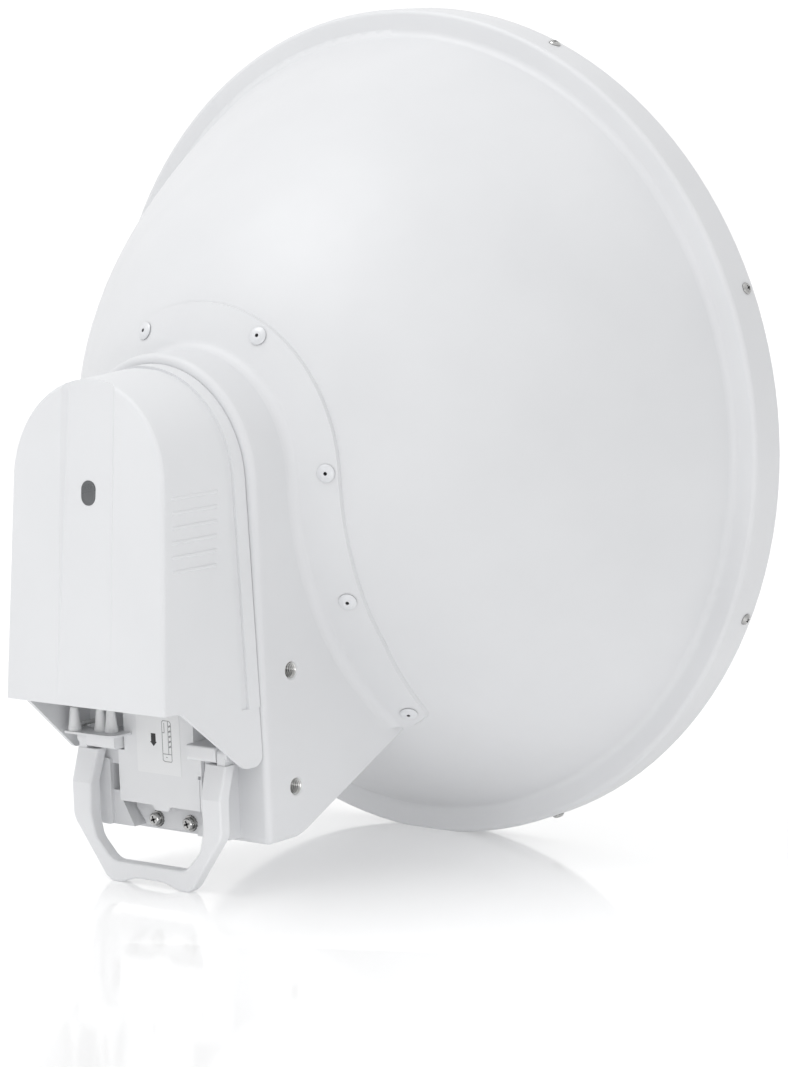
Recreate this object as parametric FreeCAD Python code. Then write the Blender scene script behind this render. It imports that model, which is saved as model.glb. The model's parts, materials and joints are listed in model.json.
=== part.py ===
"""Outdoor wireless bridge: a deep dish antenna with its radio under a rear cover.

Every shape is drawn in the dish's own frame, in millimetres.  The dish axis is the Y axis, the beam
leaves along -Y, +Z is up, and y = 0 is the front edge of the rim.  save() moves each part so that the
stored origin is the centre of the mast bracket's four bolt holes.
"""

import FreeCAD, Part
import math
import os

V = FreeCAD.Vector
X_AXIS = V(1, 0, 0)
Y_AXIS = V(0, 1, 0)
Z_AXIS = V(0, 0, 1)
CENTRE = V(0, 0, 0)
SIDES = (-1, 1)

# Dish and radome
RIM_R = 324.0
RIM_FLANGE_Y = 31.0
RIM_EDGE_R = 4.0
BOWL_R = 287.1
BOWL_Y = 65.9
BOWL_DEPTH = 223.3
BOWL_POWER = 2.54
BOWL_EDGE_R = 302.0
SHEET = 2.0
VERTEX_HOLE_R = 28.0
RADOME_RISE = 12.0
RADOME_SKIN = 2.0
RADOME_FLAT_R = 15.0
RADOME_LIP = -1.0
SKIRT_R = 320.6
SKIRT_DEPTH = 17.0
RIM_SCREW_Y = 8.0
RIM_SCREW_COUNT = 8
RIM_SCREW_CLOCK = 20.5
RIM_SCREW_R = 2.0
RIM_SCREW_HEAD_R = 4.6
RIM_SCREW_HEAD = 2.4

# Rear housing
ARCH_Z = -1.7
HOUSING_HALF = 89.0
HOUSING_REAR = 322.0
HOUSING_BOTTOM = -268.0
HOUSING_WALL = 3.0
HOUSING_EDGE_R = 5.0
TRIM_FRONT = 120.0
SLOPE_Y = 292.0
LUG_Y = 150.0
LUG_Z = -202.0
FLANGE_R = 122.0
FLANGE_THICK = 3.0
FLANGE_FILLET = 9.0
RIVET_SPOTS = ((55.0, 95.9), (112.8, -0.5), (111.2, -96.4), (105.8, -191.3))
RIVET_R = 2.4
RIVET_HEAD_R = 6.75
RIVET_HEAD = 2.2

# Mast bracket holes
BRACKET_Y = 290.0
BRACKET_TOP = -143.5
BRACKET_PITCH = 86.0
THREAD_MINOR_R = 5.1
INSERT_R = 6.3
INSERT_DEPTH = 18.0
MOUTH_R = 7.2
BOSS_R = 11.0
BRACKET_BOTTOM = BRACKET_TOP - BRACKET_PITCH
ORIGIN = V(0, BRACKET_Y, (BRACKET_TOP + BRACKET_BOTTOM) / 2)

# Rear cover
COVER_FRONT = HOUSING_REAR + 0.6
COVER_HALF = 81.0
COVER_FRONT_SPREAD = 0.03
COVER_REAR = 401.0
COVER_REAR_HALF = 74.0
COVER_REAR_SPREAD = 0.024
COVER_REAR_RISE = 4.5
COVER_LEAN = math.degrees(math.atan(0.09))
COVER_WALL = 3.0
COVER_BOTTOM = -157.6
COVER_TONGUE = -208.0
COVER_EDGE_R = 3.0
LIP_WIDTH = 11.0
LIP_PROUD = 0.9
LIP_END = -165.0
CHANNEL_WIDTH = 6.5
CHANNEL_DEPTH = 1.1
GRIP_COUNT = 6
GRIP_PITCH = 10.4
GRIP_TOP = -5.3
GRIP_FRONT = 350.0
GRIP_FRONT_STEP = 1.2
GRIP_REAR = 392.0
GRIP_REAR_STEP = 0.9
GRIP_R = 1.5
GRIP_SINK = 0.6
STRIP_HALF = 26.2
STRIP_TOP = 90.0
STRIP_FOOT = -150.0
FACET_DEPTH = 3.4
FACET_WIDTH = 5.0
BADGE_Z = -4.5
RAIL_IN = 66.0
RAIL_OUT = 76.0
RAIL_REAR = 330.0
RAIL_WALL = 3.0
RAIL_TOP = -5.0
RAIL_BOTTOM = -150.0
HOOK_IN = 71.0
HOOK_FRONT = 323.2
HOOK_REAR = 326.4
HOOK_BOTTOM = -160.0

# Carrier panel behind the radio
PANEL_REAR = 338.5
PANEL_THICK = 2.5
PANEL_HALF = 41.0
PANEL_NECK_HALF = 34.5
PANEL_NECK_Z = -206.0
PANEL_BOTTOM = -244.5
PANEL_TOP = 40.0
TAB_HALF = 6.5
TAB_DROP = 3.8
CARRIER_SCREW_X = 30.0
CARRIER_SCREW_ZS = (-20.0, -150.0)
CARRIER_RAIL_REAR = 352.0
CARRIER_RAIL_TOP = 0.0
NOTCH_TOP = -218.4
NOTCH_BOTTOM = -221.0
LABEL_HALF = 21.5
LABEL_BOTTOM = -220.4
LABEL_TOP = -158.0

# Radio
RADIO_HALF = 41.0
RADIO_FRONT = 343.0
RADIO_SPLIT = 366.0
RADIO_REAR = 388.0
RADIO_BOTTOM = -130.0
RADIO_TOP = 56.0
RADIO_CORNER = 9.0
RADIO_WALL = 2.0
RADIO_SEAL = 0.8
BOARD_THICK = 1.6
BOARD_Y = 356.0
BUTTON_R = 2.0
BUTTON_GAP = 0.08
BUTTON_X = 12.0
BUTTON_Y = 375.0
JACK_XS = (-20.5, -2.5)
JACK_Y = 368.0
JACK_HALF = 8.0
JACK_DEPTH = 13.4
GPS_PORT_Y = 374.0
FIN_COUNT = 12
FIN_PITCH = 6.0

# Handle and its blocks
PIVOT_Y = 342.5
PIVOT_Z = -198.5
PIN_R = 2.2
PIN_GAP = 0.05
HANDLE_REAR = 356.0
HANDLE_DEPTH = 11.0
HANDLE_WIDTH = 18.0
HANDLE_TOP_WIDTH = 20.5
HANDLE_HALF = 73.5
HANDLE_TOP = -205.9
HANDLE_BEND_Z = -230.0
HANDLE_BOTTOM = -301.5
HANDLE_EDGE_R = 2.0
EYE_R = 4.6
EYE_IN = 64.6
EYE_OUT = 74.0
BLOCK_IN = 36.0
BLOCK_OUT = 64.0
BLOCK_BOTTOM = -204.6
BLOCK_EDGE_R = 3.0
SHELF_BOTTOM = -193.5
SHELF_TOP = -191.8
SHELF_REAR = 359.0
SHELF_ENDS = (26.0, 78.0)
PIN_START = 55.5

# Posts, slots and ground pad on the housing's rear plane
POST_IN = 50.6
POST_OUT = 62.0
POST_TOP = -214.0
POST_STEP_TOP = -206.6
POST_BOTTOM = -264.0
POST_STEP = 3.0
WEB_IN = 31.0
PAD_TOP = -247.0
PAD_TOP_HALF = 41.0
PAD_BOTTOM = -264.5
PAD_BOTTOM_HALF = 27.0
SLOT_IN = 41.4
SLOT_OUT = 50.4
SLOT_BOTTOM = -238.0
SLOT_TOP = -218.0

# Feed and coaxial leads
FEED_TUBE_R = 13.0
FEED_FLANGE_R = 44.0
FEED_FLANGE_Y = 289.4
FEED_TIP_Y = 168.0
FEED_SCREW_R = 36.0
PORT_SCREW_R = 22.0
COAX_R = 1.5
COUPLER_Z = -199.0
COUPLER_R = 2.6
COUPLER_ARM_R = 2.2
GPS_PORT_Z = -95.0
GPS_LEAD_X = 47.5
BOOT_SPOTS = ((70.0, 353.0), (51.0, 345.0), (40.5, 345.0))
PORT_Y = 352.0
PORT_XS = (36.0, 24.0)
BOOT_HEIGHT = 17.5
GROUND_X = 16.5
GROUND_Z = -258.2
GROUND_PAD_Y = 325.0


def box(x0, x1, y0, y1, z0, z1):
    """A block between two corners."""
    return Part.makeBox(x1 - x0, y1 - y0, z1 - z0, V(x0, y0, z0))


def rod(start, axis, radius, length):
    """A round bar from start along axis."""
    return Part.makeCylinder(radius, length, start, axis)


def tube(start, axis, outer, inner, length):
    """A round bar with a bore."""
    return rod(start, axis, outer, length).cut(rod(start, axis, inner, length))


def fuse(shapes):
    """One clean solid from touching or overlapping shapes."""
    whole = shapes[0]
    if len(shapes) > 1:
        whole = whole.multiFuse(shapes[1:])
    return whole.removeSplitter()


def cut(shape, tools):
    """shape with every tool taken away."""
    return shape.cut(tools)


def mirrored(shape):
    """The same shape on the other side of the dish's middle plane."""
    return shape.mirror(CENTRE, X_AXIS)


def pair(shape):
    """A shape and its mirror image."""
    return [shape, mirrored(shape)]


def rounded_wire(corners, place):
    """A closed outline of straight runs with tangent arcs.

    corners holds (u, v, radius); place turns u, v into a point.
    """
    points = [place(u, v) for u, v, radius in corners]
    edges = []
    ends = []
    count = len(corners)
    for i in range(count):
        here = points[i]
        to_last = (points[i - 1] - here).normalize()
        to_next = (points[(i + 1) % count] - here).normalize()
        radius = corners[i][2]
        half = math.acos(max(-1.0, min(1.0, to_last.dot(to_next)))) / 2
        if radius == 0 or half > math.radians(89.9):
            ends.append((here, here, here))
            continue
        reach = radius / math.tan(half)
        middle = (to_last + to_next).normalize()
        crest = here + middle * (radius / math.sin(half) - radius)
        ends.append((here + to_last * reach, crest, here + to_next * reach))
    for i in range(count):
        start, crest, end = ends[i]
        if start.distanceToPoint(end) > 1e-6:
            edges.append(Part.Arc(start, crest, end).toShape())
        following = ends[(i + 1) % count][0]
        if end.distanceToPoint(following) > 1e-6:
            edges.append(Part.LineSegment(end, following).toShape())
    return Part.Wire(edges)


def plate_xz(corners, y0, y1):
    """A plate whose outline lies across the dish axis."""
    wire = rounded_wire(corners, lambda u, v: V(u, y0, v))
    return Part.Face(wire).extrude(V(0, y1 - y0, 0))


def plate_yz(corners, x0, x1):
    """A plate whose outline is seen from the side."""
    wire = rounded_wire(corners, lambda u, v: V(x0, u, v))
    return Part.Face(wire).extrude(V(x1 - x0, 0, 0))


def block_along_z(corners, z0, z1):
    """A block whose outline is seen from above."""
    wire = rounded_wire(corners, lambda u, v: V(u, v, z0))
    return Part.Face(wire).extrude(V(0, 0, z1 - z0))


def rectangle(u0, u1, v0, v1, radius):
    """The four rounded corners of a rectangle."""
    return [(u0, v0, radius), (u1, v0, radius), (u1, v1, radius), (u0, v1, radius)]


def turned(profile, start, axis):
    """A solid of revolution: profile holds (radius, distance along the axis)."""
    points = [V(radius, 0, height) for radius, height in profile]
    solid = Part.Face(Part.makePolygon(points + points[:1])).revolve(CENTRE, Z_AXIS, 360)
    solid.Placement = FreeCAD.Placement(start, FreeCAD.Rotation(Z_AXIS, axis))
    return solid


def lead(points, radius):
    """A round lead along straight runs joined by tangent arcs, each as large as its runs allow."""
    runs = [b - a for a, b in zip(points, points[1:])]
    edges = []
    start = points[0]
    for corner, into, away in zip(points[1:], runs, runs[1:]):
        half_turn = into.getAngle(away) / 2
        reach = 0.45 * min(into.Length, away.Length)
        bend = reach / math.tan(half_turn)
        arc_start = corner - V(into).normalize() * reach
        arc_end = corner + V(away).normalize() * reach
        inward = (V(away).normalize() - V(into).normalize()).normalize()
        crest = corner + inward * (bend / math.cos(half_turn) - bend)
        edges.append(Part.LineSegment(start, arc_start).toShape())
        edges.append(Part.Arc(arc_start, crest, arc_end).toShape())
        start = arc_end
    edges.append(Part.LineSegment(start, points[-1]).toShape())
    path = Part.Wire(edges)
    section = Part.Wire(Part.Circle(points[0], runs[0], radius).toShape())
    return path.makePipeShell([section], True, False)


def save(name, shapes):
    """Write one node: a single solid, or identical pieces as separate solids."""
    solids = [solid for shape in shapes for solid in shape.Solids]
    node = Part.makeCompound([solid.copy() for solid in solids]) if len(solids) > 1 else solids[0].copy()
    node.translate(ORIGIN * -1)
    node.exportStep("parts/" + name + ".step")
    volume = sum(solid.Volume for solid in solids) / 1000
    valid = all(solid.isValid() for solid in solids)
    print(name, len(solids), "solids", round(volume, 2), "cm3", "" if valid else "NOT VALID")


# ---------------------------------------------------------------- dish and radome

def bowl_y(radius):
    """Depth of the bowl's outer surface at a distance from the axis."""
    return BOWL_Y + BOWL_DEPTH * (1 - (radius / BOWL_R) ** BOWL_POWER)


def bowl_point(radius, offset):
    """A point of the bowl's outline, moved offset along the outward normal."""
    slope = -BOWL_DEPTH * BOWL_POWER / BOWL_R * (radius / BOWL_R) ** (BOWL_POWER - 1)
    length = math.hypot(slope, 1)
    return V(radius - slope / length * offset, bowl_y(radius) + offset / length, 0)


def bowl_curve(offset):
    """The bowl's outline as one smooth curve, from the vertex hole to the flare."""
    curve = Part.BSplineCurve()
    width = BOWL_EDGE_R - VERTEX_HOLE_R
    radii = [VERTEX_HOLE_R + width * step / 14 for step in range(15)]
    curve.interpolate(Points=[bowl_point(radius, offset) for radius in radii])
    return curve


def bowl_solid(offset):
    """Everything in front of the bowl's surface, used to trim what seats on the bowl."""
    curve = bowl_curve(offset)
    edge = curve.EndPoint
    top = curve.StartPoint
    outline = [edge, V(edge.x, -60, 0), V(0, -60, 0), V(0, top.y, 0), top]
    lines = [Part.LineSegment(a, b).toShape() for a, b in zip(outline, outline[1:])]
    return Part.Face(Part.Wire([curve.toShape()] + lines)).revolve(CENTRE, Y_AXIS, 360)


def flare_points(curve, flange_y):
    """Tangent arc from the end of a bowl outline into the rim flange: start, crest, end."""
    start = curve.EndPoint
    along = curve.tangent(curve.LastParameter)[0]
    reach = (start.y - flange_y) / abs(along.y)
    corner = start + along * reach
    end = corner + X_AXIS * reach
    half = (along * -1).getAngle(X_AXIS) / 2
    radius = reach * math.tan(half)
    inward = (X_AXIS - along).normalize()
    return start, corner + inward * (radius / math.sin(half) - radius), end


def dish_outline():
    """Section of the pressed sheet: bowl, rear-facing rim flange and cylindrical rim band."""
    outer = bowl_curve(0)
    inner = bowl_curve(-SHEET)
    rear = RIM_FLANGE_Y
    bend = RIM_EDGE_R * (1 - math.sqrt(0.5))
    flare = flare_points(outer, rear)
    inner_flare = flare_points(inner, rear - SHEET)
    flange_end = V(RIM_R - RIM_EDGE_R, rear, 0)
    crest = V(RIM_R - bend, rear - bend, 0)
    shoulder = V(RIM_R, rear - RIM_EDGE_R, 0)
    band = [shoulder, V(RIM_R, 0, 0), V(RIM_R - SHEET, 0, 0), V(RIM_R - SHEET, rear - SHEET, 0)]
    band.append(inner_flare[2])
    edges = [outer.toShape(), Part.Arc(*flare).toShape()]
    edges.append(Part.LineSegment(flare[2], flange_end).toShape())
    edges.append(Part.Arc(flange_end, crest, shoulder).toShape())
    edges += [Part.LineSegment(a, b).toShape() for a, b in zip(band, band[1:])]
    edges.append(Part.Arc(*inner_flare).toShape())
    edges.append(inner.toShape())
    edges.append(Part.LineSegment(inner.StartPoint, outer.StartPoint).toShape())
    return Part.Wire(Part.__sortEdges__(edges))


def rim_directions():
    """Outward directions of the radome screws round the rim."""
    step = 360.0 / RIM_SCREW_COUNT
    angles = [math.radians(RIM_SCREW_CLOCK + step * i) for i in range(RIM_SCREW_COUNT)]
    return [V(-math.cos(angle), 0, math.sin(angle)) for angle in angles]


def rivet_frames():
    """Seat point and outward normal of each housing rivet on the bowl."""
    frames = []
    for side in SIDES:
        for x, z in RIVET_SPOTS:
            radius = math.hypot(x, z)
            near = bowl_point(radius, 0)
            far = bowl_point(radius, 1)
            spread = (far.x - near.x) / radius
            normal = V(side * x * spread, far.y - near.y, z * spread)
            frames.append((V(side * x, near.y, z), normal))
    return frames


def rivet_holes():
    """Bores for the rivet shanks through the flange and the sheet."""
    return [rod(seat - normal * 12, normal, RIVET_R, 24) for seat, normal in rivet_frames()]


def feed_screw_spots(radius):
    """Four points round the dish axis."""
    reach = radius * math.sqrt(0.5)
    return [(x * reach, z * reach) for x in SIDES for z in SIDES]


def make_dish():
    dish = Part.Face(dish_outline()).revolve(CENTRE, Y_AXIS, 360)
    holes = []
    for direction in rim_directions():
        holes.append(rod(V(0, RIM_SCREW_Y, 0) + direction * 300, direction, RIM_SCREW_R, 40))
    for x, z in feed_screw_spots(FEED_SCREW_R):
        holes.append(rod(V(x, 270, z), Y_AXIS, 2.0, 30))
    save("dish_reflector", [cut(dish, holes + rivet_holes())])


def dome_points(edge_r, edge_y):
    """Outline of a shallow dome with a flat centre: centre point, arc start, crest, end."""
    top = edge_y - RADOME_RISE
    middle = (RADOME_FLAT_R + edge_r) / 2
    return V(0, top, 0), V(RADOME_FLAT_R, top, 0), V(middle, top + RADOME_RISE / 4, 0), V(edge_r, edge_y, 0)


def make_radome():
    """A shallow domed front skin with a skirt inside the rim band, its seal and its screws."""
    edge = SKIRT_R - RADOME_SKIN
    outer = dome_points(SKIRT_R, RADOME_LIP)
    inner = dome_points(edge, RADOME_LIP + RADOME_SKIN)
    skirt = [outer[3], V(SKIRT_R, SKIRT_DEPTH, 0), V(edge, SKIRT_DEPTH, 0), inner[3]]
    centre = [inner[1], inner[0], outer[0], outer[1]]
    edges = [Part.Arc(*outer[1:]).toShape(), Part.Arc(*inner[1:]).toShape()]
    for line in (skirt, centre):
        edges += [Part.LineSegment(a, b).toShape() for a, b in zip(line, line[1:])]
    radome = Part.Face(Part.Wire(Part.__sortEdges__(edges))).revolve(CENTRE, Y_AXIS, 360)
    holes = []
    screws = []
    for direction in rim_directions():
        seat = V(0, RIM_SCREW_Y, 0) + direction * RIM_R
        holes.append(rod(seat - direction * 20, direction, RIM_SCREW_R, 30))
        screws.append(rim_screw(seat, direction))
    save("front_radome", [cut(radome, holes)])
    seal_y = SKIRT_DEPTH + 0.2
    save("radome_seal", [tube(V(0, seal_y, 0), Y_AXIS, RIM_R - SHEET - 0.1, SKIRT_R - 3, 5.0)])
    save("rim_screws", screws)


def cross_recess(top, axis, width, depth):
    """A cross-shaped driver recess cut down from the top of a screw head."""
    slots = []
    for turn in (0, 90):
        slot = box(-width / 2, width / 2, -width / 8, width / 8, -depth, 1)
        slot.rotate(CENTRE, Z_AXIS, turn + 20)
        slots.append(slot)
    recess = fuse(slots)
    recess.Placement = FreeCAD.Placement(top, FreeCAD.Rotation(Z_AXIS, axis))
    return recess


def rim_screw(seat, direction):
    """A pan-head screw that holds the radome's skirt to the rim."""
    head_r = RIM_SCREW_HEAD_R
    head = [(0, RIM_SCREW_HEAD), (2.2, 2.2), (3.7, 1.6), (head_r, 0.5), (head_r, 0.05), (RIM_SCREW_R, 0.05)]
    screw = turned(head + [(RIM_SCREW_R, -8), (0, -9)], seat, direction)
    return screw.cut(cross_recess(seat + direction * RIM_SCREW_HEAD, direction, 4.0, 1.3))


def make_rivets():
    """Blind rivets with a large domed head, a hollow core and a set tail inside the dish."""
    profile = [(RIVET_R - 1, RIVET_HEAD - 0.1), (3.4, RIVET_HEAD - 0.1), (5.6, RIVET_HEAD - 0.8),
               (RIVET_HEAD_R, 0.7), (RIVET_HEAD_R, 0), (RIVET_R, 0), (RIVET_R, -5.3), (3.9, -6.2),
               (3.9, -8.2), (2.6, -10), (0, -10), (0, -3.5), (RIVET_R - 1, -3.5)]
    rivets = []
    for seat, normal in rivet_frames():
        rivets.append(turned(profile, seat + normal * (FLANGE_THICK + 0.15), normal))
    save("housing_rivets", rivets)


# ---------------------------------------------------------------- rear housing

def housing_corners(inset, corner):
    """Straight part of the housing's outline across the dish axis."""
    half = HOUSING_HALF - inset
    foot = half + 1.0
    bottom = HOUSING_BOTTOM + inset
    return [(-half, ARCH_Z, 0), (-foot, bottom, corner), (foot, bottom, corner), (half, ARCH_Z, 0)]


def arch_block(inset, corner, y0, y1):
    """The housing's outline with its arched top, drawn out along the dish axis."""
    straight = plate_xz(housing_corners(inset, corner), y0, y1)
    dome = rod(V(0, y0, ARCH_Z), Y_AXIS, HOUSING_HALF - inset, y1 - y0)
    return fuse([straight, dome])


def flange_plate():
    """The flange that lies on the bowl, before it is trimmed to the bowl's surface."""
    corners = [(-FLANGE_R, -2, 0), (-FLANGE_R - 0.5, -132, 40), (-117, -196, 12), (-100, -206, 12),
               (-60, -206, 0), (60, -206, 0), (100, -206, 12), (117, -196, 12),
               (FLANGE_R + 0.5, -132, 40), (FLANGE_R, -2, 0)]
    lower = plate_xz(corners, TRIM_FRONT, HOUSING_REAR)
    upper = rod(V(0, TRIM_FRONT, -2), Y_AXIS, FLANGE_R, HOUSING_REAR - TRIM_FRONT)
    return fuse([lower, upper])


def side_profile(drop):
    """Side view of the housing's underside: level at the rear, rising along the bowl."""
    slope = (LUG_Z - HOUSING_BOTTOM) / (LUG_Y - SLOPE_Y)
    front_z = LUG_Z + slope * (TRIM_FRONT - LUG_Y) + drop
    corners = [(TRIM_FRONT, 130, 0), (TRIM_FRONT, front_z, 0), (SLOPE_Y, HOUSING_BOTTOM + drop, 14),
               (HOUSING_REAR, HOUSING_BOTTOM - 1 + drop, 4), (HOUSING_REAR, 130, 0)]
    return plate_yz(corners, -140, 140)


def root_edges(shape, inner_bowl_y):
    """Edges where the body's walls meet the flange's outer surface."""
    found = []
    for edge in shape.Edges:
        middle = edge.valueAt((edge.FirstParameter + edge.LastParameter) / 2)
        radius = math.hypot(middle.x, middle.z)
        on_skin = abs(middle.y - inner_bowl_y(radius)) < 1.2
        on_wall = abs(abs(middle.x) - HOUSING_HALF) < 2.5 or abs(
            math.hypot(middle.x, middle.z - ARCH_Z) - HOUSING_HALF) < 1.0
        if on_skin and on_wall:
            found.append(edge)
    return found


def skin_y(radius):
    """Height of the flange's outer surface at a distance from the axis."""
    inner = radius
    for _ in range(20):
        point = bowl_point(inner, FLANGE_THICK)
        inner += radius - point.x
    return bowl_point(inner, FLANGE_THICK).y


def make_housing():
    """A shell from the bowl to the rear plane, with flange, bosses, rails and cable openings."""
    body = arch_block(0, 6.0, TRIM_FRONT, HOUSING_REAR).common(side_profile(0))
    body = body.cut(bowl_solid(0))
    flange = flange_plate().common(bowl_solid(FLANGE_THICK)).cut(bowl_solid(0))
    flange = flange.common(side_profile(0))
    shell = fuse([body, flange])
    shell = shell.makeFillet(FLANGE_FILLET, root_edges(shell, skin_y))
    rear_edges = [edge for edge in shell.Edges
                  if abs(edge.BoundBox.YMin - HOUSING_REAR) < 0.01 and edge.BoundBox.ZMax > -250]
    shell = shell.makeFillet(HOUSING_EDGE_R, rear_edges)
    hollow = arch_block(HOUSING_WALL, 4.0, TRIM_FRONT - 10, HOUSING_REAR - HOUSING_WALL)
    hollow = hollow.common(side_profile(HOUSING_WALL))
    shell = shell.cut(hollow)
    shell = fuse([shell] + housing_bosses() + housing_rear_features())
    save("rear_housing", [cut(shell, housing_holes() + rivet_holes())])


def bracket_spots():
    """Side, height and outward direction of the four bracket holes."""
    spots = []
    for side in SIDES:
        for z in (BRACKET_TOP, BRACKET_BOTTOM):
            half = HOUSING_HALF + (ARCH_Z - z) / (ARCH_Z - HOUSING_BOTTOM)
            spots.append((V(side * half, BRACKET_Y, z), V(side, 0, 0)))
    return spots


def housing_bosses():
    """Blind bosses behind the bracket holes."""
    bosses = []
    for mouth, out in bracket_spots():
        bosses.append(rod(mouth - out * (INSERT_DEPTH + 6), out, BOSS_R, INSERT_DEPTH + 5))
    return bosses


def housing_rear_features():
    """What stands on the rear plane: cover rails, side posts with their webs, and the ground pad."""
    inside = HOUSING_REAR - 1
    post_y = PANEL_REAR - 0.5
    web_y = post_y - POST_STEP
    rails = fuse([box(RAIL_IN, RAIL_IN + RAIL_WALL, inside, RAIL_REAR, RAIL_BOTTOM, RAIL_TOP),
                  box(RAIL_IN, RAIL_OUT, RAIL_REAR - RAIL_WALL, RAIL_REAR, RAIL_BOTTOM, RAIL_TOP)])
    post = plate_xz(rectangle(POST_IN, POST_OUT, POST_BOTTOM, POST_TOP, 2.5), inside, post_y)
    step = box(SLOT_IN, POST_OUT, inside, web_y, SLOT_BOTTOM, POST_STEP_TOP)
    web = plate_xz([(SLOT_IN, SLOT_BOTTOM - 8, 0), (WEB_IN, POST_BOTTOM, 0), (POST_OUT, POST_BOTTOM, 0),
                    (POST_OUT, SLOT_BOTTOM, 0), (SLOT_IN, SLOT_BOTTOM, 0)], inside, web_y)
    pad = plate_xz([(-PAD_BOTTOM_HALF, PAD_BOTTOM, 3), (PAD_BOTTOM_HALF, PAD_BOTTOM, 3),
                    (PAD_TOP_HALF, PAD_TOP, 3), (-PAD_TOP_HALF, PAD_TOP, 3)], inside, GROUND_PAD_Y)
    return pair(rails) + pair(fuse([post, step, web])) + [pad]


def housing_holes():
    """Bracket holes, ground screw holes, carrier screw holes, coupler holes and the side slots."""
    holes = []
    for mouth, out in bracket_spots():
        holes.append(rod(mouth - out * INSERT_DEPTH, out, INSERT_R, INSERT_DEPTH + 2))
        holes.append(Part.makeCone(INSERT_R, MOUTH_R + 1, MOUTH_R + 1 - INSERT_R, mouth - out * 0.9, out))
    for side in SIDES:
        holes.append(rod(V(side * GROUND_X, 300, GROUND_Z), Y_AXIS, 2.6, 40))
        holes.append(box(*sorted((side * SLOT_IN, side * SLOT_OUT)), 300, 340, SLOT_BOTTOM, SLOT_TOP))
    for x, z in carrier_screw_spots():
        holes.append(rod(V(x, 300, z), Y_AXIS, 2.0, 40))
    for x, _ in BOOT_SPOTS:
        holes.append(rod(V(x, 310, coupler_height(x)), Y_AXIS, COUPLER_ARM_R, 30))
    return holes


def make_inserts():
    """Threaded inserts, bored here at the thread's minor radius."""
    inserts = []
    for mouth, out in bracket_spots():
        sleeve = tube(mouth - out * INSERT_DEPTH, out, INSERT_R, THREAD_MINOR_R, INSERT_DEPTH - 1.0)
        inserts.append(sleeve)
    save("thread_inserts", inserts)


def make_ground_screws():
    """Hexagon washer-head ground screws and their toothed washers."""
    screws = []
    washers = []
    for side in SIDES:
        seat = V(side * GROUND_X, GROUND_PAD_Y, GROUND_Z)
        washers.append(toothed_washer(seat, Y_AXIS, 6.2, 2.65, 0.8))
        base = seat + Y_AXIS * 0.8
        profile = [(0, 4.6), (4.0, 4.6), (4.6, 4.0), (4.6, 1.0), (5.7, 1.0), (5.7, 0), (2.6, 0), (2.6, -14)]
        screw = turned(profile + [(1.6, -15), (0, -15)], base, Y_AXIS)
        screws.append(screw.cut(cross_recess(base + Y_AXIS * 4.6, Y_AXIS, 5.4, 2.2)))
    save("ground_screws", screws)
    save("toothed_washers", washers)


def toothed_washer(seat, axis, outer, inner, thick):
    """A ring with teeth round its outer edge."""
    teeth = 14
    notch_r = 0.55
    washer = tube(seat, axis, outer, inner, thick)
    notches = []
    for i in range(teeth):
        angle = 2 * math.pi * i / teeth
        centre = seat + V(math.cos(angle), 0, math.sin(angle)) * outer
        notches.append(rod(centre - axis, axis, notch_r, thick + 2))
    return cut(washer, notches)


# ---------------------------------------------------------------- feed

def make_feed():
    """Seal, flanged feed tube, dielectric cone, sub-reflector and the two-port transducer."""
    front = FEED_FLANGE_Y
    seal = tube(V(0, front - 3.5, 0), Y_AXIS, FEED_FLANGE_R, VERTEX_HOLE_R + 2, 3.5)
    screw_holes = [rod(V(x, 260, z), Y_AXIS, 2.0, 60) for x, z in feed_screw_spots(FEED_SCREW_R)]
    save("feed_seal", [cut(seal, [bowl_solid(0)] + screw_holes)])
    flange = tube(V(0, front, 0), Y_AXIS, FEED_FLANGE_R, FEED_TUBE_R - 1.5, 4.0)
    pipe = tube(V(0, FEED_TIP_Y + 18, 0), Y_AXIS, FEED_TUBE_R, FEED_TUBE_R - 1.5, front - FEED_TIP_Y - 17)
    port_holes = [rod(V(x, 260, z), Y_AXIS, 1.6, 60) for x, z in feed_screw_spots(PORT_SCREW_R)]
    save("feed_tube", [cut(fuse([flange, pipe]), screw_holes + port_holes)])
    cone = turned([(0, 0), (36, 0), (36, 2), (30, 9), (20, 16), (FEED_TUBE_R - 1.5, 18),
                   (FEED_TUBE_R - 1.5, 34), (6, 44), (0, 58)], V(0, FEED_TIP_Y, 0), Y_AXIS)
    save("dielectric_cone", [cone])
    sub = turned([(0, -4), (30, -2.5), (37.5, -1.6), (37.5, 2), (36, 2), (36, 0), (0, 0)],
                 V(0, FEED_TIP_Y, 0), Y_AXIS)
    save("sub_reflector", [sub])
    back = front + 4.0
    block = block_along_z(rectangle(-27, 27, back, back + 21, 3), -27, 27)
    bore = rod(V(0, back, 0), Y_AXIS, FEED_TUBE_R - 1.5, 16)
    tapped = [rod(V(x, back, z), Y_AXIS, 1.6, 12) for x, z in feed_screw_spots(PORT_SCREW_R)]
    ports = [rod(V(x, back + 10, -36), Z_AXIS, 3.2, 10) for x in (-13, 13)]
    save("feed_transducer", [cut(fuse([block] + ports), [bore] + tapped)])
    save("flange_screws", [flange_screw(x, z) for x, z in feed_screw_spots(FEED_SCREW_R)])
    save("transducer_screws", [transducer_screw(x, z) for x, z in feed_screw_spots(PORT_SCREW_R)])


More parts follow.
